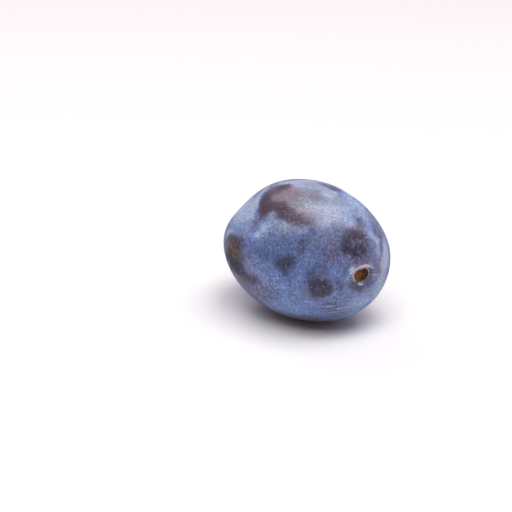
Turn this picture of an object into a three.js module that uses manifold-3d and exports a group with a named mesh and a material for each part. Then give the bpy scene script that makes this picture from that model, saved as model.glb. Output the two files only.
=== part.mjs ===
// A whole European plum of the oval blue-black kind, lying on its side, with its stalk pulled off.
// Millimetres, +Z up. The long axis runs along X, with the stalk end towards +X.
// The origin is on the surface that the fruit lies on, under the middle of the fruit.
//
// The fruit grew as one piece, so it is one solid. Its skin is found point by point from two angles:
// "down" is measured from the stalk end (0) to the blossom end (pi), and "round" is measured about
// the long axis, from straight up (0) towards +Y (pi / 2).

import * as THREE from "three";
import { mergeVertices } from "three/addons/utils/BufferGeometryUtils.js";
import Module from "manifold-3d";

// Driving dimensions, in millimetres unless they say otherwise.
const LENGTH = 54.6; // along the long axis, before the stalk end sinks in
const WIDTH = 39.6; // across, as it lies
const HEIGHT = 37.3; // from the underside to the top, before the swellings and the rest flat
const SHOULDER = 0.17; // how much blunter the stalk end is than the blossom end, as a share of the radius
const REST_PRESS = 0.32; // how deep the ripe flesh is pressed flat under the fruit's weight

// The suture, the shallow crease from the stalk end to the blossom end, between two low cheeks.
const SUTURE_ROUND = THREE.MathUtils.degToRad(36); // how far it lies from straight up
const SUTURE = { depth: 0.45, halfWidth: 1.25, cheek: 0.2, cheekReach: 4.2 };

// The stalk end: a shallow basin, and in it the scar that the stalk was pulled from, broader across
// than high and a little crooked, with a floor, a sloping wall and a low lip.
const BASIN = { depth: 0.8, reach: 5 };
const SCAR = { radius: 2.6, depth: 0.75, halfWall: 0.35, broader: 0.16, crooked: 0.045 };
const SCAR_LIP = { rise: 0.15, width: 0.4 };

// The blossom end: a small dimple round the dried stub of the style.
const DIMPLE = { depth: 0.45, reach: 2.3 };
const STYLE_STUB = { height: 0.4, radius: 0.6 };

// Broad swellings and flats that keep the fruit from being a perfect egg. Angles are in degrees and
// reach is in radians of arc.
const SWELLS = [
  { down: 122, round: 322, reach: 0.42, rise: -1.7 }, // the flat shoulder on the blossom half
  { down: 126, round: 273, reach: 0.45, rise: 0.35 }, // the blunt cheek beside it
  { down: 72, round: 180, reach: 0.6, rise: 0.42 }, // the belly that it lies on
];

// How finely the skin is divided. The rings stand closer at the two ends.
const SEGMENTS = 68; // round the fruit
const SUTURE_CROWDING = 0.45; // how much closer the segments stand at the suture, from 0 to 1
const SCAR_RINGS = { count: 14, reach: 4.55 }; // in and round the scar, and how far out they go
const DIMPLE_RINGS = { count: 8, reach: 3.2 }; // the same at the blossom end
const FLANK_RINGS = 25; // between them, from the last ring of the one to the first of the other

const bell = (distance, reach) => Math.exp(-((distance / reach) ** 2));
const rising = (from, to, value) => THREE.MathUtils.smoothstep(value, from, to);

// The unit vector of a direction from the middle of the fruit.
function direction(down, round) {
  const out = Math.sin(down);
  return new THREE.Vector3(Math.cos(down), out * Math.sin(round), out * Math.cos(round));
}

// The shortest way round from one angle to another, between -pi and pi.
function turn(from, to) {
  return THREE.MathUtils.euclideanModulo(to - from + Math.PI, 2 * Math.PI) - Math.PI;
}

// How far the middle of the scar's wall is from the axis.
function scarRadius(round) {
  return SCAR.radius * (1 - SCAR.broader * Math.cos(2 * round) - SCAR.crooked * Math.cos(3 * round));
}

function sutureRise(down, round) {
  const fromAxis = (WIDTH / 2) * Math.sin(down);
  const across = fromAxis * turn(SUTURE_ROUND, round);
  const crease = -SUTURE.depth * bell(across, SUTURE.halfWidth);
  const cheeks = SUTURE.cheek * bell(across, SUTURE.cheekReach);
  return (crease + cheeks) * rising(1, 9, fromAxis);
}

function stalkEndRise(down, round) {
  if (down > Math.PI / 2) return 0;
  const fromAxis = (WIDTH / 2) * Math.sin(down);
  const wall = scarRadius(round);
  const basin = -BASIN.depth * bell(fromAxis, BASIN.reach);
  const lip = SCAR_LIP.rise * bell(fromAxis - wall - SCAR_LIP.width, SCAR_LIP.width);
  const scar = -SCAR.depth * (1 - rising(wall - SCAR.halfWall, wall + SCAR.halfWall, fromAxis));
  return basin + lip + scar;
}

function blossomEndRise(down) {
  if (down < Math.PI / 2) return 0;
  const fromAxis = (WIDTH / 2) * Math.sin(down);
  const dimple = -DIMPLE.depth * bell(fromAxis, DIMPLE.reach);
  const stub = STYLE_STUB.height * bell(fromAxis, STYLE_STUB.radius);
  return dimple + stub;
}

function swellRise(down, round) {
  const here = direction(down, round);
  return SWELLS.reduce((sum, swell) => {
    const middle = direction(THREE.MathUtils.degToRad(swell.down), THREE.MathUtils.degToRad(swell.round));
    return sum + swell.rise * bell(here.angleTo(middle), swell.reach);
  }, 0);
}

// A point of the skin, from the middle of the fruit.
function skin(down, round) {
  const along = Math.cos(down);
  const out = Math.sin(down) * (1 + SHOULDER * along ** 3);
  const half = new THREE.Vector3(LENGTH / 2, WIDTH / 2, HEIGHT / 2);
  const point = new THREE.Vector3(along, out * Math.sin(round), out * Math.cos(round)).multiply(half);
  const outward = direction(down, round).divide(half).normalize();
  const broad = swellRise(down, round) + sutureRise(down, round);
  const ends = stalkEndRise(down, round) + blossomEndRise(down);
  return point.addScaledVector(outward, broad + ends);
}

const angleDown = (fromAxis) => Math.asin(fromAxis / (WIDTH / 2));

function evenSteps(count, from, to) {
  return Array.from({ length: count }, (_, i) => from + ((to - from) * i) / (count - 1));
}

// Every ring's angle down, from the middle of the scar to the stub of the style.
function ringAngles() {
  const scar = evenSteps(SCAR_RINGS.count, 0, SCAR_RINGS.reach).map(angleDown);
  const stub = evenSteps(DIMPLE_RINGS.count, DIMPLE_RINGS.reach, 0).map(angleDown);
  const dimple = stub.map((fromBlossomEnd) => Math.PI - fromBlossomEnd);
  const flank = evenSteps(FLANK_RINGS, scar.at(-1), dimple[0]).slice(1, -1);
  return [...scar, ...flank, ...dimple];
}

// In and round the scar, the rings follow its crooked wall.
function followScar(down, round) {
  const fromAxis = (WIDTH / 2) * Math.sin(down);
  if (down > Math.PI / 2 || fromAxis > SCAR_RINGS.reach) return down;
  const crooked = scarRadius(round) / SCAR.radius - 1;
  const follow = 1 - rising(SCAR.radius, SCAR_RINGS.reach, fromAxis);
  return angleDown(fromAxis * (1 + crooked * follow));
}

// Where segment number i lies: the segments crowd together at the suture. They run from +Y back to
// straight up, so that the faces point outwards.
function roundOfSegment(segment) {
  const even = (segment / SEGMENTS) * 2 * Math.PI;
  return SUTURE_ROUND - even + SUTURE_CROWDING * Math.sin(even);
}

// A sphere's vertices, each moved to its place on the skin, as one closed surface.
function skinSurface() {
  const rings = ringAngles();
  const sphere = new THREE.SphereGeometry(1, SEGMENTS, rings.length - 1);
  const place = sphere.getAttribute("position");
  for (let i = 0; i < place.count; i++) {
    const round = roundOfSegment((i % (SEGMENTS + 1)) % SEGMENTS);
    const down = followScar(rings[Math.floor(i / (SEGMENTS + 1))], round);
    const point = skin(down, round);
    place.setXYZ(i, point.x, point.y, point.z);
  }
  sphere.deleteAttribute("normal");
  sphere.deleteAttribute("uv");
  return mergeVertices(sphere, 1e-4);
}

const wasm = await Module();
wasm.setup();

function asSolid(geometry) {
  return new wasm.Manifold(
    new wasm.Mesh({
      numProp: 3,
      vertProperties: new Float32Array(geometry.getAttribute("position").array),
      triVerts: new Uint32Array(geometry.index.array),
    }),
  );
}

function asGeometry(solid) {
  const mesh = solid.getMesh();
  const geometry = new THREE.BufferGeometry();
  geometry.setAttribute("position", new THREE.BufferAttribute(mesh.vertProperties, 3));
  geometry.setIndex(new THREE.BufferAttribute(mesh.triVerts, 1));
  return geometry;
}

// The fruit with its underside pressed flat, standing on z = 0 with the origin under its middle.
function fruit() {
  const surface = skinSurface();
  surface.computeBoundingBox();
  const floor = surface.boundingBox.min.z + REST_PRESS;
  const below = new THREE.BoxGeometry(2 * LENGTH, 2 * WIDTH, HEIGHT);
  below.translate(0, 0, floor - HEIGHT / 2);
  below.deleteAttribute("normal");
  below.deleteAttribute("uv");
  const pressed = asGeometry(asSolid(surface).subtract(asSolid(mergeVertices(below))));
  pressed.computeBoundingBox();
  const middle = pressed.boundingBox.getCenter(new THREE.Vector3());
  pressed.translate(-middle.x, -middle.y, -floor);
  return pressed;
}

const plum = new THREE.Mesh(
  fruit(),
  new THREE.MeshStandardMaterial({ color: 0x5a648f, roughness: 0.62, metalness: 0 }),
);
plum.name = "plum";

const part = new THREE.Group();
part.add(plum);

export default part;
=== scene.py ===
import math

import bpy
import numpy as np
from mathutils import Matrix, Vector, noise


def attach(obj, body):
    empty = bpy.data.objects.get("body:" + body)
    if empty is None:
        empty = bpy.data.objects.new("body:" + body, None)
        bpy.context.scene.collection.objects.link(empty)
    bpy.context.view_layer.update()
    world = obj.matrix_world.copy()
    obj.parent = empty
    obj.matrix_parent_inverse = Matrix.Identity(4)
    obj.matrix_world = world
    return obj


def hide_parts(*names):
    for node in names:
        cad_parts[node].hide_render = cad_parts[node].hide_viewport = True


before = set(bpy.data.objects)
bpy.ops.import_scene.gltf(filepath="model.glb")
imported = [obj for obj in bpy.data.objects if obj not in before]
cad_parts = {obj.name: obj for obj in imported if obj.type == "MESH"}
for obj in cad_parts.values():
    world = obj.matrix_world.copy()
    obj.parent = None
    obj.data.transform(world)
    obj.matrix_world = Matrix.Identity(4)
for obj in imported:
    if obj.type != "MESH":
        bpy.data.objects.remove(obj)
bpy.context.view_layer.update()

# -----------------------------------------------------------------------------------------------
# The camera: a long lens that looks down at the plum from a little above it, on the side of its
# stalk end. The marks on the near side of the fruit are placed as it sees them.
# -----------------------------------------------------------------------------------------------
lens = bpy.data.cameras.new("camera")
lens.lens, lens.sensor_width = 115.05, 36.0
lens.clip_start, lens.clip_end = 0.02, 20.0
camera = bpy.data.objects.new("camera", lens)
azimuth, elevation = math.radians(55.775), math.radians(19.0)
level_back = math.cos(elevation)
back = Vector((math.sin(azimuth) * level_back, -math.cos(azimuth) * level_back, math.sin(elevation)))
camera.location = (0.34533, -0.25046, 0.16315)
camera.rotation_euler = back.to_track_quat("Z", "Y").to_euler()
bpy.context.scene.collection.objects.link(camera)
bpy.context.scene.camera = camera
bpy.context.scene.view_settings.view_transform = "Standard"

# -----------------------------------------------------------------------------------------------
# The plum. It grew as one piece: an oval fruit, purple-black and satin under a powdery blue bloom of
# wax. It lies on its side, on the small flat that its own weight presses, with the torn scar of its
# stalk at one end, the dried stub of the style at the other and a shallow crease between them.
# -----------------------------------------------------------------------------------------------

# Places on the skin are given as "down", from the stalk end to the blossom end, and "around", from
# the top towards +Y. All lengths are in millimetres, and become metres when the mesh is made.
millimetre = 0.001
length, width, height = 54.6, 39.6, 37.3
half_size = np.array([length, width, height]) / 2
shoulder = 0.17  # how much blunter the stalk end is than the blossom end
rest_press = 0.32  # how deep the ripe flesh is pressed flat
crease_around = math.radians(36)
crease_depth, crease_half_width = 0.45, 1.25
cheek_rise, cheek_reach = 0.2, 4.2  # the low cheeks on both sides of the crease
basin_depth, basin_reach = 0.8, 5.0  # the hollow that the scar lies in
scar_radius, scar_depth, scar_half_wall = 2.6, 0.75, 0.35
scar_broader, scar_crooked = 0.16, 0.045  # how far the scar is from round, as shares of its radius
lip_rise, lip_width = 0.15, 0.4
dimple_depth, dimple_reach = 0.45, 2.3  # the hollow that the style's stub stands in
stub_height, stub_radius = 0.4, 0.6
swells = [  # middle in degrees down and around, reach in radians, rise
    (122, 322, 0.42, -1.7),
    (126, 273, 0.45, 0.35),
    (72, 180, 0.6, 0.42),
]


def bell(distance, reach):
    return np.exp(-((distance / reach) ** 2))


def rising(start, end, value):
    t = np.clip((value - start) / (end - start), 0, 1)
    return t * t * (3 - 2 * t)


def direction(down, around):
    return np.stack([np.cos(down), np.sin(down) * np.sin(around), np.sin(down) * np.cos(around)], -1)


def straight_out(down, around):
    out = direction(down, around) / half_size
    return out / np.linalg.norm(out, axis=-1, keepdims=True)


def from_axis(down):
    return width / 2 * np.sin(down)


def from_crease(down, around):
    return from_axis(down) * (np.mod(around - crease_around + math.pi, 2 * math.pi) - math.pi)


def scar_wall(around):
    return scar_radius * (1 - scar_broader * np.cos(2 * around) - scar_crooked * np.cos(3 * around))


def skin_point(down, around):
    down, around = np.broadcast_arrays(np.asarray(down, float), np.asarray(around, float))
    along = np.cos(down)
    out = np.sin(down) * (1 + shoulder * along**3)
    point = np.stack([along, out * np.sin(around), out * np.cos(around)], -1) * half_size

    rise = np.zeros(down.shape)
    for middle_down, middle_around, reach, height_of_swell in swells:
        middle = direction(math.radians(middle_down), math.radians(middle_around))
        from_middle = np.arccos(np.clip(direction(down, around) @ middle, -1, 1))
        rise += height_of_swell * bell(from_middle, reach)
    out_mm = from_axis(down)
    across = from_crease(down, around)
    crease = cheek_rise * bell(across, cheek_reach) - crease_depth * bell(across, crease_half_width)
    rise += crease * rising(1, 9, out_mm)
    wall = scar_wall(around)
    stalk_end = -basin_depth * bell(out_mm, basin_reach)
    stalk_end += lip_rise * bell(out_mm - wall - lip_width, lip_width)
    stalk_end -= scar_depth * (1 - rising(wall - scar_half_wall, wall + scar_half_wall, out_mm))
    blossom_end = stub_height * bell(out_mm, stub_radius) - dimple_depth * bell(out_mm, dimple_reach)
    rise += np.where(down < math.pi / 2, stalk_end, blossom_end)
    return point + straight_out(down, around) * rise[..., None]


# The rings stand close together in the scar, where the torn fibres are.
segments = 320
rings_in_scar, rings_on_flank, rings_in_dimple = 70, 175, 16
scar_edge, dimple_edge = 4.4, 3.0
scar_ends = math.asin(scar_edge / (width / 2))
dimple_starts = math.pi - math.asin(dimple_edge / (width / 2))
downs = np.concatenate([
    np.arcsin(np.linspace(0, scar_edge, rings_in_scar) / (width / 2)),
    np.linspace(scar_ends, dimple_starts, rings_on_flank)[1:-1],
    math.pi - np.arcsin(np.linspace(dimple_edge, 0, rings_in_dimple) / (width / 2)),
])
arounds = np.arange(segments) / segments * 2 * math.pi
down_grid, around_grid = np.meshgrid(downs, arounds, indexing="ij")
surface = skin_point(down_grid, around_grid)
middle_of_box = (surface.max((0, 1)) + surface.min((0, 1))) / 2
floor_height = surface[..., 2].min() + rest_press
origin = np.array([middle_of_box[0], middle_of_box[1], floor_height])

# Ripe skin is never quite even: it waves by about 0.06 mm, and by 0.15 mm at the most.
wave_count, wave_height = 26, 0.012
waves = np.zeros(down_grid.shape)
draw = np.random.default_rng(5)
for _ in range(wave_count):
    pull = draw.normal(size=3)
    pull *= draw.uniform(4, 11) / np.linalg.norm(pull)
    ripple = direction(down_grid, around_grid) @ pull + draw.uniform(0, 2 * math.pi)
    waves += wave_height * np.sin(ripple)

# The scar's floor is a torn mat of fibres round the stump of the stalk's core, and its lip is ragged.
tear_height, pit_depth, rag_height, stump_height = 0.16, 0.1, 0.1, 0.22
stump_radius = 0.65
out_grid = from_axis(down_grid)
at_stalk_end = down_grid < math.pi / 2
from_wall = out_grid - scar_wall(around_grid)
floor_share = np.where(at_stalk_end, 1 - rising(-0.45, -0.2, from_wall), 0.0)
lip_share = np.where(at_stalk_end, bell(from_wall - 0.45, 0.28), 0.0)
fibres = np.zeros(down_grid.shape)
for ring, segment in zip(*np.nonzero((floor_share > 0.01) | (lip_share > 0.02))):
    here = Vector(surface[ring, segment])
    torn = tear_height * noise.fractal(here * 1.4, 0.6, 2.1, 4)
    torn += pit_depth * abs(noise.noise(here * 3.1))
    rough_lip = rag_height * noise.noise(here * 1.6 + Vector((3, 1, 7)))
    fibres[ring, segment] += floor_share[ring, segment] * torn
    fibres[ring, segment] += lip_share[ring, segment] * rough_lip
from_core = np.hypot(surface[..., 1] - 0.25, surface[..., 2] + 0.2)
core_stump = stump_height * bell(from_core, stump_radius)
fibres += floor_share * core_stump

surface = surface + straight_out(down_grid, around_grid) * (waves + fibres)[..., None]
surface[..., 2] = np.maximum(surface[..., 2], floor_height)
surface -= origin

# One point at each end, with all the rings between them.
points = [surface[0, 0], *surface[1:-1].reshape(-1, 3), surface[-1, 0]]
rings = len(downs) - 2
numbers = 1 + np.arange(rings * segments).reshape(rings, segments)
beside = np.roll(numbers, -1, axis=1)
last = len(points) - 1
faces = [(0, int(b), int(a)) for a, b in zip(numbers[0], beside[0])]
faces += np.stack([numbers[:-1], beside[:-1], beside[1:], numbers[1:]], -1).reshape(-1, 4).tolist()
faces += [(last, int(a), int(b)) for a, b in zip(numbers[-1], beside[-1])]
plum_mesh = bpy.data.meshes.new("plum_skin")
plum_mesh.from_pydata([tuple(point * millimetre) for point in points], [], faces)
plum_mesh.polygons.foreach_set("use_smooth", [True] * len(faces))


# How strong each mark is at each point of the skin is kept with the mesh, for the skin's colours.
def keep_share(name, grid_values):
    values = np.concatenate([[grid_values[0, 0]], grid_values[1:-1].ravel(), [grid_values[-1, 0]]])
    layer = plum_mesh.attributes.new(name, "FLOAT", "POINT")
    layer.data.foreach_set("value", values.astype(np.float32))


def side(degrees, reach):
    return bell(around_grid - math.radians(degrees), reach)


# The sides of the scar, seen from the stalk end with the top of the fruit up.
upper = rising(-0.25, 0.1, np.cos(around_grid + math.radians(38)))
upper_right, lower_right = side(50, 0.38), side(122, 0.5)
left, upper_left = side(262, 0.75), side(305, 0.4)
# The brown floor ends short of the wall, and shortest under the upper side.
floor_rim = -0.35 - 0.4 * rising(-0.6, 0.3, np.cos(around_grid + math.radians(10)))
floor_rim -= 0.22 * left + 0.22 * upper_left + 0.22 * lower_right
in_scar = np.where(at_stalk_end, 1.0, 0.0)
keep_share("scar_floor", in_scar * (1 - rising(floor_rim - 0.15, floor_rim + 0.15, from_wall)))
# Its dry edge is a thin pale line that fades at the bottom left.
edge = bell(from_wall - floor_rim - 0.12, 0.14) * (0.7 + 0.15 * upper) * (1 - 0.9 * side(200, 0.55))
edge = edge * (0.86 + 0.26 * upper_right - 0.3 * lower_right - 0.4 * upper_left)
keep_share("scar_edge", in_scar * edge)
# The bare wall is dark, except on the left, and widest on the lower right: bare skin with the shade of
# the crevice painted in.
wall = (0.9 - 0.25 * upper_right - 0.1 * lower_right) * (1 - left)
wall = wall * rising(floor_rim + 0.12, floor_rim + 0.3, from_wall)
wall = wall * (1 - rising(-0.1, 0.35 + 0.55 * lower_right, from_wall + 0.25 * upper_right))
keep_share("scar_wall", in_scar * wall)
# The lip is thick with wax on its upper side, where it is paler still as a painted highlight, and bare
# below, but for a painted glint at the very bottom.
lip_starts = -0.75 - 0.3 * left - 0.45 * upper_left
lip_full = -0.3 - 0.45 * left - 0.6 * upper_left
lip_ends = 0.3 - 0.75 * left + 0.2 * rising(0.8, 1, np.cos(around_grid - math.radians(4)))
lip_wax_and_highlight = 0.95 * upper * rising(lip_starts, lip_full, from_wall)
lip_wax_and_highlight = lip_wax_and_highlight * (1 - rising(lip_ends - 0.2, lip_ends + 0.25, from_wall))
painted_glint = 0.64 * side(192, 0.3) * bell(from_wall - 0.12, 0.2)
keep_share("scar_lip_and_glint", in_scar * np.maximum(lip_wax_and_highlight, painted_glint))

in_crease = bell(from_crease(down_grid, around_grid), 1.1) * rising(1, 7, out_grid)
keep_share("crease", in_crease * (0.3 + 0.7 * rising(1.3, 1.8, down_grid)))
keep_share("style_stub", np.where(at_stalk_end, 0.0, bell(out_grid, 0.9)))

# The bloom is what hands, leaves and neighbours have left of it, and some of its marks are painted
# light and shade, as said at each. Each mark on it is an oval, with the softness of its edge and its
# strength last. One that is seen is given in the camera's frame of 512 by 512 points: its middle from
# the left and from the top, half its width and height, and its turn clockwise in degrees. One that is
# placed is given on the skin: degrees down and around, half its length and width in millimetres, and
# its turn from the fruit's length in degrees.
# Rubs, where the bloom is thin or gone. Some of them paint shade: along the lower and left limbs,
# across the middle and in the crease, as said at each.
seen_rubs = [
    ("top rub left edge", 264.8, 202, 5.6, 12.5, 14, 0.5, 1),
    ("top rub left foot", 263, 211, 5, 5.5, 0, 0.6, 0.6),
    ("top rub upper edge", 276, 190, 11, 3.5, -25, 0.6, 0.6),
    ("top rub upper streak", 284, 187, 7.5, 2.4, -15, 0.6, 0.95),
    ("top rub lower band", 275, 206, 14, 5, 8, 0.5, 0.95),
    ("top rub lower lobe", 291.5, 216.5, 16.5, 6.2, 23, 0.5, 0.62),
    ("top rub lower lobe end", 308.5, 221, 9, 4.2, -5, 0.6, 0.36),
    # The top rub's pale middle and faded end are worn bloom under a painted highlight that spreads
    # from the veil.
    ("top rub middle", 285, 198, 22, 12, -5, 0.5, 0.13),
    ("top rub faded end", 307, 199, 12, 9, 0, 0.8, 0.17),
    ("shoulder rub top", 356, 233.5, 8, 4.7, 10, 0.5, 0.75),
    ("shoulder rub dark side", 346.5, 244, 5.5, 10, 0, 0.5, 0.88),
    ("shoulder rub foot", 354, 253, 6, 4.5, 0, 0.5, 0.75),
    ("shoulder rub right side", 360, 250, 5.5, 6, -10, 0.5, 0.58),
    ("shoulder rub haze", 355.5, 244, 15, 16.5, -15, 0.5, 0.57),
    ("shoulder rub tip", 358.5, 221, 3.5, 4.5, 0, 0.5, 0.38),
    ("shoulder rub below", 362, 260, 12, 5, -10, 0.7, 0.2),
    ("shoulder rub trail", 335, 234, 9.5, 7, 0, 0.8, 0.31),
    ("shoulder rub trail end", 332, 248, 9, 11, 0, 0.9, 0.3),
    ("thumb print", 319.7, 288.4, 11.3, 10.3, 0, 0.28, 0.77),
    ("thumb print left", 310.5, 289, 3, 6, 10, 0.6, 0.25),
    ("thumb print top", 322, 279, 8, 5, 0, 0.6, 0.32),
    ("thumb print upper left", 313, 277, 6, 6, 0, 0.8, 0.4),
    ("thumb print smear", 320, 269, 9, 6, 0, 0.9, 0.3),
    ("belly rub", 285, 265, 9, 6.5, 0, 0.5, 0.75),
    ("belly rub corner", 291, 257, 5, 4, -40, 0.6, 0.24),
    ("belly rub drip", 286, 274, 3.2, 3, 0, 0.6, 0.5),
    ("belly rub streak", 301, 247, 4, 9, 20, 0.6, 0.45),
    ("belly rub streak end", 305, 235, 5, 6, 0, 0.8, 0.14),
    ("belly rub left", 277, 258, 6, 5, 0, 0.8, 0.3),
    ("nose rub", 232.2, 247, 9, 10.2, -5, 0.4, 0.85),
    ("nose rub neck", 235, 258, 6, 6, 0, 0.5, 0.62),
    ("nose rub tail", 236.5, 267, 14, 5.5, 57, 0.5, 0.78),
    ("nose rub tail end", 251, 278.5, 8.5, 5.5, 33, 0.5, 0.75),
    ("nose rub outer", 244, 282, 12, 4, 45, 0.7, 0.4),
    ("small rub", 257, 226, 4.5, 6, 20, 0.6, 0.35),
    ("left mottle", 263, 253, 7, 6, 0, 0.8, 0.3),
    ("mottle below notch", 268, 234, 8, 4, -20, 0.7, 0.3),
    ("mottled rub", 265, 290, 10, 9, 20, 0.8, 0.35),
    ("scar smudge", 356, 286, 6, 5, 10, 0.5, 0.6),
    ("streaked rub", 333, 307, 10, 4.5, -5, 0.7, 0.14),
    ("streak", 334, 311, 10, 0.9, -4, 0.5, 0.45),
    ("upper streak", 326, 304.5, 7, 0.9, 2, 0.5, 0.4),
    ("faint rub", 340, 286, 7, 5, 0, 0.8, 0.3),
    # Painted shadow along the crease, where it runs out to the top limb.
    ("crease rub", 331, 187.5, 13, 1.2, 22, 0.5, 0.5),
    ("limb rub", 375, 229, 10, 3, 60, 0.7, 0.22),
    # Painted shade: the bloom is thinned across the middle of the near side, which darkens that band.
    ("thin middle", 300, 250, 44, 27, 0, 0.8, 0.3),
    ("thin under the top rub", 290, 238, 26, 9, 0, 0.9, 0.12),
    ("middle right", 330, 255, 12, 10, 0, 0.9, 0.2),
    ("shoulder rub upper right", 363.5, 227, 4, 6, -20, 0.6, 0.15),
    # These two paint shade along the lower left limb.
    ("nose limb", 229, 249, 5, 12, 0, 0.5, 0.85),
    ("lower left limb", 234.5, 266, 4.5, 12, 35, 0.7, 0.72),
    ("right of the scar", 378, 266, 3, 8, 5, 0.7, 0.35),
    ("below right of the scar", 368, 282.5, 8, 4, -20, 0.7, 0.35),
    ("top rub lobe root", 283, 216.5, 7, 4, 35, 0.6, 0.4),
    # This rub and the next darken the edges of the painted highlight veil.
    ("left of the veil", 311, 232, 4, 9, 10, 0.7, 0.12),
    ("top of the veil", 320, 200, 10, 4, 0, 0.8, 0.15),
    ("low middle", 340, 290, 15, 8, 0, 0.9, 0.14),
    ("beside the scar", 369, 279, 4, 5, 0, 0.7, 0.3),
    ("spot by the foot", 258, 217, 4.5, 6, 0, 0.6, 0.3),
    ("by the tip", 355, 211, 3, 7, 0, 0.7, 0.2),
    ("lower cheek", 250, 223, 7, 5, 0, 0.8, 0.18),
    ("below the scar", 364, 288, 16, 7, -25, 0.8, 0.12),
    ("white middle right", 308, 213, 6, 5, 0, 0.8, 0.15),
    ("middle of the shoulder rub", 353, 236, 5, 4, 0, 0.7, 0.3),
    ("belly left", 284, 271, 8, 6, 0, 0.8, 0.15),
    ("under the lobe root", 278, 224, 4, 5, 0, 0.8, 0.2),
    # Painted shade along the underside, where the fruit turns down to the table.
    ("lowest limb", 322, 319, 30, 2.2, -3, 0.8, 0.3),
    ("below the glint", 361, 284.5, 4, 3.5, 0, 0.8, 0.3),
    ("left of the foot", 256.5, 209, 3, 5, 15, 0.6, 0.3),
    ("beside the streak", 317, 243, 11, 8, 0, 0.8, 0.12),
    ("right of the thumb print", 326, 294, 5, 5, 0, 0.8, 0.08),
    ("low streak", 330, 308, 8, 0.8, -6, 0.5, 0.4),
    ("lower streak", 322, 313.5, 9, 0.8, -2, 0.5, 0.12),
    ("right of the nose rub", 254, 248, 5, 4, 0, 0.8, 0.15),
    ("between the shoulder rub and the limb", 369.5, 250, 3, 5, 0, 0.7, 0.18),
    ("by the right limb", 381, 240, 2.5, 5, 0, 0.7, 0.25),
    ("beside the thumb print", 305, 290, 4, 6, 0, 0.7, 0.2),
    # This rub darkens the top edge of the painted highlight veil.
    ("above the veil", 314, 197, 4, 3, 0, 0.8, 0.12),
    ("under the lobe end", 309, 232, 4, 3.5, 0, 0.8, 0.3),
    ("gap under the top limb", 297, 186.5, 4, 2, 0, 0.7, 0.12),
    ("left of the scar", 347.5, 269, 3.5, 5, 10, 0.7, 0.32),
    ("edge of the thumb print", 317, 297, 10, 3.5, 8, 0.8, 0.14),
    ("by the limb foot", 379, 271, 4, 8, 5, 0.8, 0.15),
    # Painted shade along the lower left limb.
    ("low left limb", 259, 302, 13, 3, 41, 0.7, 0.42),
    ("line by the right limb", 381.3, 247, 1.7, 11, -3, 0.6, 0.4),
]
placed_rubs = [
    ("back rub", 98, 92, 7.0, 4.6, 25, 0.4, 0.85),
    ("back rub lobe", 86, 106, 4.4, 3.0, -30, 0.5, 0.7),
    ("back rub corner", 107, 80, 3.0, 2.2, 60, 0.5, 0.6),
    ("back rub veil", 96, 97, 11.0, 8.0, 20, 0.8, 0.35),
    ("far print", 50, 118, 3.4, 3.0, 0, 0.4, 0.75),
    ("far print smear", 60, 129, 4.8, 2.4, 20, 0.8, 0.4),
    ("crease side rub", 66, 80, 4.8, 2.6, -15, 0.5, 0.6),
    ("crease side rub end", 76, 86, 3.4, 1.8, 30, 0.7, 0.45),
    ("back low rub", 120, 138, 5.0, 3.0, -20, 0.5, 0.65),
    ("back low smear", 106, 150, 6.5, 3.4, 10, 0.8, 0.35),
    ("tip rub", 152, 62, 3.2, 2.2, 0, 0.5, 0.7),
    ("tip rub below", 158, 195, 3.4, 2.4, 40, 0.5, 0.6),
    ("tip smear", 140, 20, 5.0, 2.4, 30, 0.8, 0.35),
    ("rest rub", 86, 190, 13.0, 8.0, 0, 0.6, 0.7),
    ("rest smear", 58, 205, 6.0, 3.0, 20, 0.8, 0.35),
    ("thin back", 78, 118, 17.0, 9.0, 10, 0.9, 0.2),
]
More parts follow.
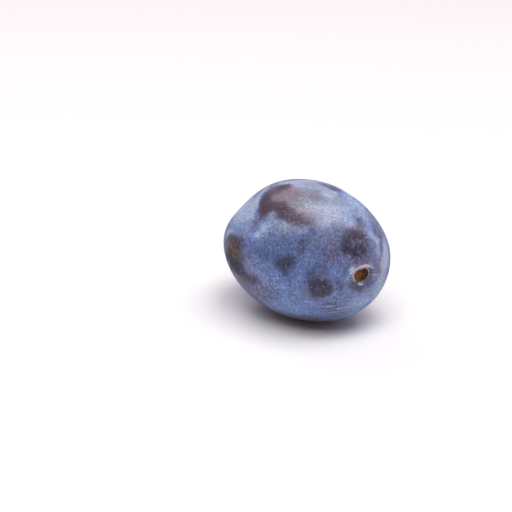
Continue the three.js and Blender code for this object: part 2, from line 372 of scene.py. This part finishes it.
# Dustings, where it lies thicker. Those along the rims and limbs are a painted sheen, and those of the
# veil a painted highlight.
seen_dustings = [
    ("left cheek", 244, 211, 12, 13, -40, 0.8, 0.38),
    ("left cheek edge", 258, 199, 4, 12, 30, 0.7, 0.2),
    ("notch", 271, 214, 5.5, 5, -20, 0.6, 0.18),
    ("notch foot", 267, 229, 14, 6.5, -10, 0.8, 0.35),
    ("under the top rub", 286, 228, 12, 4, 12, 0.8, 0.12),
    # These two paint the sheen that the bloom shows along the outline.
    ("upper right rim", 358, 203, 19, 5, 45, 0.7, 0.45),
    ("upper left rim", 246, 204, 16, 3.5, -52, 0.7, 0.3),
    ("low left", 268, 281, 12, 7, 35, 0.9, 0.15),
    # The veil over the upper middle, in this oval and the others named for it, is a painted highlight:
    # thicker, paler wax where the soft light reflects.
    ("highlight veil", 323, 208, 25, 14, 0, 0.9, 0.4),
    ("highlight veil right", 345, 216, 8, 7, 0, 0.9, 0.1),
    # Painted sheen along the top limb.
    ("top limb", 314, 185, 13, 4, 0, 0.8, 0.34),
    ("band by the crease", 373.5, 237, 11, 2.8, 52, 0.6, 0.36),
    # Painted sheen along the right limb.
    ("right limb", 384, 259, 4.2, 17, 0, 0.8, 0.44),
    ("right limb foot", 380, 283, 6, 12, -15, 0.8, 0.2),
    ("low right", 354, 307, 14, 4, -25, 0.9, 0.18),
    ("right of the belly rub", 305, 258, 8, 8, 0, 0.9, 0.15),
    ("left of the top rub", 256, 204, 4, 7, 20, 0.7, 0.45),
    ("under the lobe", 282, 225, 7, 4, 25, 0.6, 0.25),
    ("left of the notch foot", 262, 232, 6, 4, 0, 0.8, 0.2),
    ("under the lobe's end", 303, 229, 5, 5, 0, 0.8, 0.33),
    ("middle of the veil", 306, 202, 12, 7, -10, 0.8, 0.25),
    ("by the crease", 329, 192, 8, 4.5, 30, 0.7, 0.3),
    ("pale streak by the scar", 374, 267, 3.2, 0.7, 14, 0.6, 0.4),
    ("above the scar", 354, 269.5, 3, 3, 0, 0.7, 0.6),
    ("bottom right", 372, 295, 5, 9, 35, 0.7, 0.2),
    ("veil middle", 333, 213, 6, 6, 0, 0.7, 0.12),
    ("over the scar", 359, 262, 12, 5, 0, 0.8, 0.14),
    ("left of the scar", 351, 273, 2, 5, 15, 0.7, 0.2),
    ("low left broad", 272, 284, 26, 16, 15, 0.9, 0.07),
    ("left shoulder", 238, 222, 7, 6, -40, 0.8, 0.15),
    ("beside the tip", 351, 224, 4.5, 5, 0, 0.7, 0.2),
    ("under the smudge", 350, 290, 5, 4, 0, 0.7, 0.2),
    ("right of the shoulder rub", 371, 240, 4, 6, -10, 0.7, 0.12),
    # Painted reflection: a pale spot on the nose's shoulder at the limb.
    ("nose shoulder", 230, 234.5, 4, 5, 0, 0.7, 0.5),
    # Painted sheen along the top limb.
    ("top limb left", 284, 183, 9, 2.2, -8, 0.7, 0.25),
    ("right of the streak", 300, 235, 6, 6, 0, 0.8, 0.2),
    # Painted sheen along the top limb.
    ("top limb middle", 292, 184, 10, 3, 0, 0.7, 0.44),
    ("between the rubs", 363, 245, 3, 6, -20, 0.8, 0.1),
    ("left of the shoulder foot", 347, 257, 5, 3.5, 0, 0.7, 0.3),
    ("pale streak beside the scar", 375, 270.5, 3.2, 0.7, 16, 0.6, 0.4),
    ("pale streak lower beside the scar", 374.5, 274.5, 3.4, 0.9, -8, 0.6, 0.45),
    ("under the notch foot", 268, 235, 16, 3.5, 0, 0.8, 0.2),
    ("beside the veil foot", 329, 225, 4, 5, 0, 0.8, 0.15),
    # Painted sheen along the right limb.
    ("right limb middle", 379, 248, 3, 8, -10, 0.8, 0.1),
    ("left limb of the belly", 286, 308, 14, 5, 15, 0.8, 0.12),
    ("right foot", 362, 302, 10, 4, -30, 0.8, 0.15),
    ("veil low right", 338, 222, 12, 7, 20, 0.8, 0.15),
    # Painted highlight just under the crease.
    ("under the crease", 336, 192.3, 3.4, 1.2, 15, 0.6, 0.25),
    ("pale streak on the belly", 340, 309, 5, 0.7, -8, 0.6, 0.4),
    ("pale streak low on the belly", 333, 312.5, 6, 0.7, -4, 0.6, 0.35),
    ("pale streak left on the belly", 328, 306, 5, 0.7, -3, 0.6, 0.3),
    ("middle of the highlight veil", 315, 207, 5, 4, 0, 0.8, 0.15),
    ("left cheek foot", 247, 212, 3.5, 5, 0, 0.8, 0.15),
    ("foot of the highlight veil", 316, 220, 5, 4, 0, 0.8, 0.12),
    ("under the shoulder rub tip", 367, 226, 3, 5, 0, 0.7, 0.15),
    ("beside the thumb print foot", 333.5, 290, 2.6, 6, 0, 0.7, 0.22),
    ("right of the nose rub", 245, 255, 3, 5, 0, 0.7, 0.12),
    ("inside of the top rub", 277, 202, 3, 4, 0, 0.8, 0.08),
    # These three paint the sheen along the top and right rims.
    ("rim above the top rub", 265, 190, 8, 2.2, -38, 0.7, 0.3),
    ("top rim", 303, 181, 18, 1.6, 0, 0.7, 0.55),
    ("right rim", 386, 257, 2.2, 15, 0, 0.7, 0.3),
    ("under the nose tail", 257, 286, 4, 2.5, 30, 0.7, 0.15),
    ("right of the shoulder rub foot", 365, 239, 2.5, 3, 0, 0.7, 0.14),
]
placed_dustings = [
    ("above the rim", 8, 58, 1.4, 0.8, 66, 0.7, 0.75),
    ("back crest", 84, 60, 9.0, 3.4, 10, 0.8, 0.3),
    ("back of the stalk end", 32, 132, 5.0, 3.0, 30, 0.8, 0.25),
    ("tip bloom", 142, 112, 6.5, 4.0, 20, 0.8, 0.3),
    ("back low", 74, 152, 7.0, 4.0, -20, 0.9, 0.2),
]
# Hazes, where what is left of it has turned greyish. The veil's hazes and the white middle are a
# painted highlight.
seen_hazes = [
    ("top rub", 284, 197, 25, 12.5, -8, 0.25, 1),
    ("top rub foot", 263, 208, 6.2, 8.5, 15, 0.3, 1),
    ("top rub lower lobe", 294, 215, 18, 9.5, 22, 0.3, 1),
    ("under the lobe", 288, 228, 16, 7, 5, 0.7, 0.6),
    ("notch", 272, 216, 6, 5, 0, 0.6, 0.6),
    ("top rub faded end", 307, 197, 15, 14, 10, 0.6, 0.9),
    # The veil, the white middle and the faded end of the top rub are a painted highlight, greyed
    # towards white here.
    ("highlight veil", 322, 210, 20, 16, 0, 0.7, 0.7),
    ("veil foot", 320, 222, 24, 6, 0, 0.8, 0.6),
    ("below the veil", 308, 235, 10, 12, 0, 0.8, 0.15),
    ("top limb", 272, 187, 14, 5, -30, 0.6, 0.6),
    ("top limb right", 298, 184, 14, 3, 0, 0.6, 0.5),
    ("by the crease", 332, 195, 19, 6, 36, 0.7, 0.66),
    ("above the scar", 362, 262, 12, 7, -10, 0.7, 0.6),
    ("nose rub tail end", 252, 279, 8, 5, 40, 0.5, 0.5),
    ("lower left limb", 246, 284, 22, 5, 52, 0.8, 0.75),
    ("thumb print", 320, 289, 12, 9, 0, 0.6, 0.45),
    ("low middle", 338, 292, 16, 7, 8, 0.8, 0.15),
    ("middle", 333, 248, 8, 14, 10, 0.9, 0.4),
    ("right limb", 381, 268, 9, 22, 0, 0.7, 0.45),
    ("limb rub", 378, 230, 14, 5, 60, 0.7, 0.4),
    ("scar smudge", 355, 285, 12, 6, 0, 0.8, 0.6),
    ("shoulder rub top", 355.5, 226.5, 9, 6.5, 0, 0.6, 0.7),
    ("white middle", 308, 213, 9, 10, 0, 0.7, 1),
    ("low belly", 332, 306, 14, 6, -5, 0.8, 0.4),
    ("lower left", 261, 292, 14, 8, 35, 0.8, 0.5),
    ("left of the notch", 258, 222, 5, 5, 0, 0.7, 0.4),
    ("right lower limb", 369, 292, 10, 8, -40, 0.8, 0.4),
    ("lobe root", 279, 219, 5, 5, 0, 0.5, 0.7),
    ("beside the tip", 341, 222, 8, 8, 0, 0.7, 0.6),
    ("thumb print foot", 321, 294, 8, 6, 0, 0.6, 0.7),
    # Painted shade along the underside.
    ("lowest limb", 322, 319, 30, 2, -3, 0.8, 0.3),
    ("shoulder rub", 358, 239, 13, 12, -15, 0.6, 0.5),
    ("shoulder rub foot", 362, 252, 9, 8, 0, 0.7, 0.35),
    ("between the rubs", 366, 250, 6, 8, 0, 0.7, 0.4),
    ("under the notch foot", 263, 235, 8, 4, 0, 0.7, 0.35),
    ("under the thumb print", 315, 294, 12, 5, 0, 0.7, 0.55),
    ("low belly right", 340, 309, 18, 5, -8, 0.8, 0.55),
    ("nose top", 240, 235, 4, 5, 0, 0.7, 0.4),
    ("lower cheek", 251, 222, 5, 5, 0, 0.7, 0.4),
    ("faded end of the top rub", 304, 203, 9, 8, 0, 0.6, 1),
    ("top limb far right", 315, 185, 9, 3.5, 0, 0.7, 0.8),
    ("right rim", 371, 217, 8, 4, 60, 0.7, 0.45),
    ("foot of the shoulder rub", 347, 255, 5, 4, 0, 0.7, 0.5),
    ("top of the thumb print", 322, 275, 7, 5, 0, 0.7, 0.35),
    ("nose tail", 244, 263, 3.5, 8, -35, 0.7, 0.35),
    ("right of the white middle", 343, 229, 7, 5, 0, 0.7, 0.5),
    ("left of the scar", 347, 267, 6, 5, 0, 0.7, 0.22),
    ("tip of the shoulder rub", 361, 214, 9, 6, 50, 0.7, 0.4),
    ("low right", 345, 291, 8, 4, 0, 0.7, 0.3),
    ("floor side of the left limb", 250, 296, 14, 3, 48, 0.7, 0.5),
    ("left limb foot", 243, 284, 14, 2.6, 52, 0.7, 0.6),
    ("beside the belly rub streak", 295, 236, 5, 4, 0, 0.7, 0.4),
    ("below the scar smudge", 355, 292, 7, 3, -10, 0.7, 0.5),
    ("right of the nose rub", 242, 255, 3, 5, -20, 0.7, 0.5),
    ("top of the left drift", 252, 272, 5, 5, 0, 0.7, 0.4),
    # Painted shade along the lower left limb.
    ("low left limb", 259, 302, 14, 4, 41, 0.7, 0.75),
]
placed_hazes = [
    ("back rub", 96, 95, 9.0, 6.2, 20, 0.5, 0.9),
    ("crease side rub", 69, 82, 6.5, 3.6, -10, 0.6, 0.7),
    ("far print", 52, 120, 4.2, 3.6, 0, 0.6, 0.5),
    ("back low rub", 118, 142, 7.0, 4.5, -10, 0.7, 0.5),
    ("tip", 152, 78, 5.5, 4.0, 0, 0.6, 0.6),
    ("rest rub", 85, 190, 16.0, 10.0, 0, 0.6, 1.0),
]
# Clears, where the wax has kept its cleanest blue.
seen_clears = [
    ("left drift", 267, 268, 20, 6.5, 50, 0.7, 0.9),
    ("left drift top", 250, 244, 8, 7, 20, 0.7, 0.7),
    ("left cheek", 242, 211, 6.5, 12, 0, 0.7, 1),
    ("left mottle", 238, 241, 5, 6, 0, 0.7, 0.9),
    ("middle right", 328, 246, 15, 11, 0, 0.7, 0.9),
    ("right of the streak", 301, 236, 7, 8, 0, 0.7, 0.8),
    ("belly right", 300, 271, 8, 8, 0, 0.7, 1),
    ("low left", 282, 291, 12, 16, 0, 0.7, 1),
    ("under the scar", 360, 284, 11, 5, -15, 0.7, 1),
    ("shoulder rub dark side", 342, 241, 7, 9, 0, 0.7, 1),
    ("by the foot", 257, 211, 4, 6, 0, 0.7, 1),
    ("right of the scar", 375, 271, 3, 7, 0, 0.7, 0.8),
    ("nose tail", 234, 261, 4, 6, 0, 0.7, 0.8),
    ("nose shoulder", 232, 234, 4, 5, 0, 0.7, 1),
    ("right of the thumb print", 333, 292, 4, 5, 0, 0.7, 0.7),
    ("limb by the nose tail", 236.5, 267, 3, 10, -38, 0.7, 0.9),
]
# Speckles, where it has come off in fine spots.
seen_speckles = [
    ("shoulder rub", 356, 243, 13, 14, 0, 0.4, 1.0),
    ("mottled rub", 266, 291, 12, 10, 20, 0.6, 0.7),
    ("nose rub tail", 244, 268, 9, 12, 40, 0.6, 0.6),
]
placed_speckles = [
    ("nose rub", 104, 277, 6.5, 4.0, -14, 0.6, 0.8),
]
# The cheek beside the blossom end has weathered brown, and the skin below it has gone dull.
placed_weathers = [
    ("nose rub", 105, 276, 4.9, 3.0, -12, 0.6, 1.0),
]
seen_dulls = [
    ("nose limb", 229.5, 260, 3.5, 9, -14, 0.7, 1.0),
    ("nose rub tail", 236.5, 268, 4, 10, -38, 0.7, 0.9),
]

# The outlines of the ovals waver, because the skin under them is shifted a little, here and there.
broad_shift, fine_shift = 0.9, 0.35
broad_scale, fine_scale = 0.22, 0.8
noise.seed_set(6)
wavering = np.array([point + broad_shift * np.array(noise.noise_vector(Vector(point) * broad_scale))
                     + fine_shift * np.array(noise.noise_vector(Vector(point) * fine_scale))
                     for point in surface.reshape(-1, 3)]).reshape(surface.shape)
oval_depth = 12.0  # how far an oval reaches into the fruit, so that it follows the skin's curve


# Two ways along the skin, towards the blossom end and around, and the way into the fruit.
def ways_at(down, around, small_turn=0.01):
    here = skin_point(down, around)
    along = skin_point(down + small_turn, around) - here
    inward = np.cross(along, skin_point(down, around + small_turn) - here)
    along /= np.linalg.norm(along, axis=-1, keepdims=True)
    inward /= np.linalg.norm(inward, axis=-1, keepdims=True)
    return along, np.cross(inward, along), inward


# The matrix that turns a shift from an oval's middle into shares of its two half sizes.
def oval(half_length, half_width, turn):
    long_way = np.array([math.cos(turn), math.sin(turn)])
    short_way = np.array([-math.sin(turn), math.cos(turn)])
    return np.array([long_way / half_length, short_way / half_width])


def patch(down, around, to_shares, softness, strength):
    along, beside, inward = ways_at(down, around)
    from_middle = wavering - (skin_point(down, around) - origin)
    reaches = np.column_stack([np.stack([along, beside], -1) @ to_shares.T, inward / oval_depth])
    how_far = np.linalg.norm(from_middle @ reaches, axis=-1)
    return strength * (1 - rising(1 - softness, 1 + softness, how_far))


def placed_patch(down, around, half_length, half_width, turn, softness, strength):
    to_shares = oval(half_length, half_width, math.radians(turn))
    return patch(math.radians(down), math.radians(around), to_shares, softness, strength)


# Where the camera sees a place, in points across and down its frame.
frame_points = 512
focal_points = lens.lens / lens.sensor_width * frame_points
camera_place = np.array(camera.location) / millimetre
rightward, upward, backward = np.array(camera.rotation_euler.to_matrix()).T


def seen_at(place):
    from_camera = place - camera_place
    shift = np.stack([from_camera @ rightward, -(from_camera @ upward)], -1)
    return frame_points / 2 + focal_points * shift / -(from_camera @ backward)[..., None]


# Every half degree of the skin that faces the camera, and where it is seen.
least_facing = 0.02  # 1 is skin that faces the camera squarely, and 0 is its outline
half_degrees = np.radians(np.arange(0.5, 180, 0.5)), np.radians(np.arange(0, 360, 0.5))
near_side = np.stack(np.meshgrid(*half_degrees, indexing="ij")).reshape(2, -1)
sight = skin_point(*near_side) - origin - camera_place
sight /= np.linalg.norm(sight, axis=-1, keepdims=True)
facing = np.sum(sight * ways_at(*near_side)[2], -1)
near_side = near_side[:, facing > least_facing]
near_seen = seen_at(skin_point(*near_side) - origin)
least_scale = 0.9  # points for one millimetre of skin, so that ovals near the outline stay short


# The oval on the skin that the camera sees as the given one.
def seen_patch(from_left, from_top, half_width, half_height, turn, softness, strength):
    nearest = np.argmin(np.linalg.norm(near_seen - (from_left, from_top), axis=-1))
    down, around = near_side[:, nearest]
    here = skin_point(down, around) - origin
    one_millimetre_on = here + np.stack(ways_at(down, around)[:2])
    seen_turn, scales, skin_turn = np.linalg.svd((seen_at(one_millimetre_on) - seen_at(here)).T)
    to_points = seen_turn @ np.diag(np.maximum(scales, least_scale)) @ skin_turn
    to_shares = oval(half_width, half_height, math.radians(turn)) @ to_points
    return patch(down, around, to_shares, softness, strength)


def patches(seen=(), placed=()):
    near = [seen_patch(*oval_values) for title, *oval_values in seen]
    return near + [placed_patch(*oval_values) for title, *oval_values in placed]


# The shaded lower side has kept its clear blue too.
low_down = 1 - rising(8, 21, surface[..., 2])
keep_share("bloom_left", np.prod([1 - rub for rub in patches(seen_rubs, placed_rubs)], axis=0))
keep_share("dusting", np.sum(patches(seen_dustings, placed_dustings), axis=0))
keep_share("haze", np.max(patches(seen_hazes, placed_hazes), axis=0))
keep_share("clear", np.max([low_down, *patches(seen_clears)], axis=0))
keep_share("speckled", np.max(patches(seen_speckles, placed_speckles), axis=0))
keep_share("weathered", np.max(patches(placed=placed_weathers), axis=0))
keep_share("dull", np.max(patches(seen_dulls), axis=0))
plum_mesh.update()
plum = bpy.data.objects.new("plum_fruit", plum_mesh)
bpy.context.scene.collection.objects.link(plum)

# The skin's material, from the bloom's thickness outwards.
skin = bpy.data.materials.new("plum_skin")
skin.use_nodes = True
skin.node_tree.nodes.clear()


def put(tree, kind, feeds=None, **settings):
    made = tree.nodes.new(kind)
    for name, value in settings.items():
        setattr(made, name, value)
    for socket, value in (feeds or {}).items():
        if isinstance(value, bpy.types.NodeSocket):
            tree.links.new(value, made.inputs[socket])
        else:
            made.inputs[socket].default_value = value
    return made


def calc(tree, operation, first, second=0.0, third=0.0, clamp=False):
    feeds = {0: first, 1: second, 2: third}
    return put(tree, "ShaderNodeMath", feeds, operation=operation, use_clamp=clamp).outputs[0]


def grain(tree, place, scale, detail=2.0, roughness=0.5):
    feeds = {"Vector": place, "Scale": scale, "Detail": detail, "Roughness": roughness}
    return put(tree, "ShaderNodeTexNoise", feeds).outputs["Fac"]


def uneven(tree, place, scale, detail=2.0, roughness=0.5):
    return calc(tree, "SUBTRACT", grain(tree, place, scale, detail, roughness), 0.5)


def blend(tree, amount, first, second, kind="MIX"):
    made = put(tree, "ShaderNodeMix", data_type="RGBA", blend_type=kind)
    for socket, value in ((0, amount), (6, first), (7, second)):
        if isinstance(value, bpy.types.NodeSocket):
            tree.links.new(value, made.inputs[socket])
        else:
            made.inputs[socket].default_value = value if socket == 0 else (*value, 1.0)
    return made.outputs[2]


def step(tree, value, start, end, low=0.0, high=1.0):
    feeds = {"Value": value, "From Min": start, "From Max": end, "To Min": low, "To Max": high}
    made = put(tree, "ShaderNodeMapRange", feeds, interpolation_type="SMOOTHSTEP", clamp=True)
    return made.outputs["Result"]


tree = skin.node_tree
spot = put(tree, "ShaderNodeTexCoord").outputs["Object"]
in_millimetres = {0: spot, "Scale": 1 / millimetre}
place = put(tree, "ShaderNodeVectorMath", in_millimetres, operation="SCALE").outputs[0]
across_place, up_place = put(tree, "ShaderNodeSeparateXYZ", {0: place}).outputs[1:3]


def share(name):
    return put(tree, "ShaderNodeAttribute", attribute_name=name).outputs["Fac"]


# The bloom's own unevenness: broad drifts, mottling and a stipple.
broad = uneven(tree, place, 0.07)
mottle = uneven(tree, place, 0.32, 3.0, 0.6)
stipple = uneven(tree, place, 1.5, 3.0, 0.7)
fine = uneven(tree, place, 3.4, 2.0, 0.6)
thick = calc(tree, "MULTIPLY_ADD", broad, 0.25, 0.76)
thick = calc(tree, "MULTIPLY_ADD", mottle, 0.55, thick)
# The edges of the rubs are dusty.
bloom_left = share("bloom_left")
rub_edge = calc(tree, "MULTIPLY", bloom_left, calc(tree, "SUBTRACT", 1.0, bloom_left))
dust = uneven(tree, place, 1.1, 3.0, 0.75)
ragged = calc(tree, "MULTIPLY", share("speckled"), 1.5)
ragged = calc(tree, "MULTIPLY_ADD", rub_edge, 5.0, ragged)
bloom_left = calc(tree, "MULTIPLY_ADD", ragged, dust, bloom_left, clamp=True)
thick = calc(tree, "MULTIPLY", calc(tree, "ADD", thick, share("dusting")), bloom_left)
thick = calc(tree, "MULTIPLY", thick, calc(tree, "MULTIPLY_ADD", share("crease"), -0.3, 1.0))
thick = calc(tree, "MULTIPLY_ADD", stipple, 0.15, thick)


# Dots scattered over the skin, of a size that varies from one to the next, as a mask.
def dots(scale, portion, radius, soft):
    cells = put(tree, "ShaderNodeTexVoronoi", {"Vector": place, "Scale": scale, "Randomness": 1.0})
    pick = put(tree, "ShaderNodeSeparateColor", {0: cells.outputs["Color"]}).outputs[0]
    size = step(tree, pick, 1.0 - portion, 1.0, 0.0, radius * scale)
    inside = calc(tree, "SUBTRACT", size, cells.outputs["Distance"])
    shown = step(tree, pick, 1.0 - portion, 1.0 - portion * 0.8)
    return calc(tree, "MULTIPLY", step(tree, inside, -soft * scale, soft * scale), shown)


# Dark specks, each where a pore has shed the bloom, and pale grains of thicker wax.
specks = calc(tree, "MULTIPLY", dots(1.2, 0.4, 0.22, 0.06), 0.42)
specks = calc(tree, "MULTIPLY_ADD", dots(0.5, 0.5, 0.3, 0.08), 0.45, specks)
grains = dots(0.8, 0.35, 0.22, 0.1)
powdery = calc(tree, "MULTIPLY_ADD", stipple, 1.3, 1.0)
powdery = calc(tree, "MULTIPLY_ADD", fine, 1.1, powdery)
powdery = calc(tree, "MULTIPLY_ADD", grains, 0.3, powdery)
powdery = calc(tree, "MULTIPLY", powdery, calc(tree, "SUBTRACT", 1.0, specks))
# Thick clear bloom is coarse, and haze is smooth.
coarse = calc(tree, "MULTIPLY_ADD", share("clear"), 0.2, 1.0)
coarse = calc(tree, "MULTIPLY_ADD", share("haze"), -0.55, coarse)
coarse = calc(tree, "MULTIPLY", step(tree, thick, 0.0, 0.5, 0.7, 1.4), coarse)
powdery = calc(tree, "MULTIPLY_ADD", calc(tree, "SUBTRACT", powdery, 1.0), coarse, 1.0)

# The tones from bare skin to the thickest wax: clear blue bloom, and bloom that has gone hazy.
bloom_stops = [
    (0, (0.028, 0.024, 0.044)),
    (0.06, (0.034, 0.032, 0.063)),
    (0.22, (0.054, 0.06, 0.127)),
    (0.34, (0.068, 0.083, 0.181)),
    (0.46, (0.085, 0.11, 0.24)),
    (0.58, (0.105, 0.138, 0.293)),
    (0.7, (0.128, 0.168, 0.346)),
    (0.82, (0.161, 0.209, 0.396)),
    (0.94, (0.197, 0.26, 0.468)),
    (1.06, (0.238, 0.31, 0.52)),
    (1.25, (0.338, 0.387, 0.551)),
]
haze_stops = [
    (0, (0.032, 0.018, 0.038)),
    (0.06, (0.047, 0.029, 0.052)),
    (0.22, (0.08, 0.057, 0.086)),
    (0.34, (0.107, 0.078, 0.113)),
    (0.46, (0.138, 0.104, 0.142)),
    (0.58, (0.167, 0.132, 0.173)),
    (0.7, (0.195, 0.162, 0.209)),
    (0.82, (0.228, 0.2, 0.254)),
    (0.94, (0.267, 0.247, 0.311)),
    (1.06, (0.31, 0.297, 0.377)),
    (1.25, (0.378, 0.382, 0.487)),
]
thickest_tone = 1.25  # the thickness of the ramps' last tone


def tones(stops):
    along_ramp = calc(tree, "MULTIPLY", thick, 1 / thickest_tone, clamp=True)
    ramp = put(tree, "ShaderNodeValToRGB", {0: along_ramp})
    while len(ramp.color_ramp.elements) < len(stops):
        ramp.color_ramp.elements.new(0.5)
    for element, (thickness, tone) in zip(ramp.color_ramp.elements, stops):
        element.position = thickness / thickest_tone
        element.color = (*tone, 1.0)
    return ramp.outputs[0]


colour = blend(tree, share("haze"), tones(bloom_stops), tones(haze_stops))
colour = put(tree, "ShaderNodeVectorMath", {0: colour, "Scale": powdery}, operation="SCALE").outputs[0]
# The skin under the bloom is redder in some places than in others, and clear wax is bluer.
red_cast = step(tree, grain(tree, place, 0.13), 0.35, 0.65)
redder = blend(tree, 1.0, colour, (1.01, 1.0, 0.985), "MULTIPLY")
greener = blend(tree, 1.0, colour, (0.91, 1.025, 1.01), "MULTIPLY")
colour = blend(tree, red_cast, greener, redder)
bluer = blend(tree, 1.0, colour, (0.94, 1.02, 1.065), "MULTIPLY")
colour = blend(tree, share("clear"), colour, bluer)

# The weathered cheek is brown and liver-coloured by turns, with flecks of russet.
weathered = calc(tree, "MULTIPLY", share("weathered"), step(tree, mottle, -0.2, 0.05, 0.35, 1.0))
liver, brown, russet_tone = (0.024, 0.009, 0.018), (0.072, 0.03, 0.02), (0.29, 0.18, 0.12)
weathered_tone = blend(tree, step(tree, calc(tree, "ADD", mottle, stipple), -0.1, 0.14), liver, brown)
colour = blend(tree, calc(tree, "MULTIPLY", weathered, 0.88), colour, weathered_tone)
fine_flecks = step(tree, grain(tree, place, 1.1, 4.0, 0.75), 0.54, 0.66, 0.0, 0.75)
russet = calc(tree, "ADD", dots(0.9, 0.7, 0.36, 0.14), fine_flecks, clamp=True)
russet = calc(tree, "MULTIPLY", calc(tree, "MULTIPLY", weathered, russet), 0.6)
colour = blend(tree, russet, colour, russet_tone)

# The stub of the style is dry and brown, and pale breathing pores dot the bare skin.
stub_brown, pore_tone = (0.09, 0.055, 0.035), (0.44, 0.41, 0.47)
colour = blend(tree, share("style_stub"), colour, stub_brown)
pores = calc(tree, "MULTIPLY", step(tree, thick, 0.7, 0.3), 0.36)
pores = calc(tree, "MULTIPLY", dots(0.95, 0.9, 0.21, 0.06), pores)
colour = blend(tree, pores, colour, pore_tone)

# The scar: torn brown floor inside a thin dry edge, a dark bare wall with painted shade, and a pale
# lip of wax with a painted highlight and glint.
fibre_tone = grain(tree, place, 2.2, 4.0, 0.6)
fibre_tone = calc(tree, "ADD", step(tree, across_place, 1.6, -1.6, -0.12, 0.12), fibre_tone)
dark_fibre, brown_fibre = (0.024, 0.009, 0.005), (0.19, 0.068, 0.022)
edge_shade, dry_edge = (0.21, 0.14, 0.11), (0.43, 0.31, 0.25)
thin_wax, thick_wax = (0.46, 0.43, 0.52), (0.72, 0.67, 0.74)
# The wall's tone paints the shade in the crevice onto its bare skin.
shaded_bare_wall_tone = (0.062, 0.056, 0.078)
floor_tone = blend(tree, step(tree, fibre_tone, 0.3, 0.75), dark_fibre, brown_fibre)
edge_tone = blend(tree, step(tree, stipple, -0.15, 0.15), edge_shade, dry_edge)
lip_tone = blend(tree, step(tree, stipple, -0.2, 0.12), thin_wax, thick_wax)
colour = blend(tree, share("scar_wall"), colour, shaded_bare_wall_tone)
colour = blend(tree, share("scar_lip_and_glint"), colour, lip_tone)
colour = blend(tree, share("scar_floor"), colour, floor_tone)
colour = blend(tree, share("scar_edge"), colour, edge_tone)

# Dull where it is powdered or worn, satin where it is bare, with a gloss only on the upper side.
height_of_skin = calc(tree, "MULTIPLY_ADD", fine, 0.5, calc(tree, "MULTIPLY", stipple, 0.6))
bump_feeds = {"Strength": 0.35, "Distance": 0.15 * millimetre, "Height": height_of_skin}
bump = put(tree, "ShaderNodeBump", bump_feeds).outputs[0]
rough = step(tree, thick, 0.0, 0.7, 0.42, 0.56)
rough = calc(tree, "MULTIPLY_ADD", share("dull"), 0.4, rough, clamp=True)
bare = step(tree, thick, 0.4, 0.06)
gloss = calc(tree, "MULTIPLY_ADD", bare, 0.2, 0.1)
gloss = calc(tree, "MULTIPLY", gloss, step(tree, up_place, 20.0, 30.0))
finish = put(tree, "ShaderNodeBsdfPrincipled", {
    "Base Color": colour, "Roughness": rough, "Normal": bump, "Specular IOR Level": 0.18,
    "Coat Weight": gloss, "Coat Roughness": 0.34,
    "Sheen Weight": 0.06, "Sheen Roughness": 0.4, "Sheen Tint": (0.92, 0.92, 1.0, 1.0),
})
put(tree, "ShaderNodeOutputMaterial", {"Surface": finish.outputs[0]})
plum_mesh.materials.append(skin)

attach(plum, "root")
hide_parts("plum")

# -----------------------------------------------------------------------------------------------
# The table: a wide sheet of smooth white board, painted matt. The plum lies loose on it, and it isn't
# part of the plum.
# -----------------------------------------------------------------------------------------------
board_half = 3
board_corners = [(-board_half, -board_half, 0), (board_half, -board_half, 0),
                 (board_half, board_half, 0), (-board_half, board_half, 0)]
board_mesh = bpy.data.meshes.new("white_board")
board_mesh.from_pydata(board_corners, [], [(0, 1, 2, 3)])
board = bpy.data.objects.new("white_board", board_mesh)
bpy.context.scene.collection.objects.link(board)
board_paint = bpy.data.materials.new("white_board")
board_paint.use_nodes = True
paint = board_paint.node_tree.nodes["Principled BSDF"]
paint.inputs["Base Color"].default_value = (0.885, 0.885, 0.885, 1.0)
paint.inputs["Roughness"].default_value = 0.6
board_mesh.materials.append(board_paint)

# -----------------------------------------------------------------------------------------------
# The studio: a pale room, a little brighter overhead and behind. Two large soft lights stand high
# in front and on the right, and a small weak one shines from behind the plum.
# -----------------------------------------------------------------------------------------------
room = bpy.data.worlds.new("white_room")
room.use_nodes = True
air = room.node_tree
brightest = (-0.45, 0.3, 0.8)
looking = put(air, "ShaderNodeTexCoord").outputs["Generated"]
toward = put(air, "ShaderNodeVectorMath", {0: looking, 1: brightest}, operation="DOT_PRODUCT")
room_light = calc(air, "MULTIPLY_ADD", toward.outputs["Value"], 0.15, 0.265)
air.nodes["Background"].inputs["Color"].default_value = (1.09, 0.92, 1.0, 1.0)
air.links.new(room_light, air.nodes["Background"].inputs["Strength"])
bpy.context.scene.world = room

softboxes = [  # place, size, power in watts, tint
    ("front_softbox", (0.75, -0.62, 1.7), (1.3, 1.3), 23.2, (1.0, 1.0, 0.99)),
    ("right_softbox", (0.47, 0.43, 1.85), (1.3, 1.3), 17.2, (1.0, 1.0, 0.99)),
    ("back_softbox", (-0.85, 0.12, 0.83), (0.45, 0.35), 1.8, (1.0, 0.92, 0.97)),
]
aim = Vector((0, 0, 0.02))
for title, stand, size, power, tint in softboxes:
    lamp = bpy.data.lights.new(title, "AREA")
    lamp.shape = "RECTANGLE"
    lamp.size, lamp.size_y = size
    lamp.energy = power
    lamp.color = tint
    softbox = bpy.data.objects.new(title, lamp)
    softbox.location = stand
    softbox.rotation_euler = (aim - softbox.location).to_track_quat("-Z", "Y").to_euler()
    bpy.context.scene.collection.objects.link(softbox)
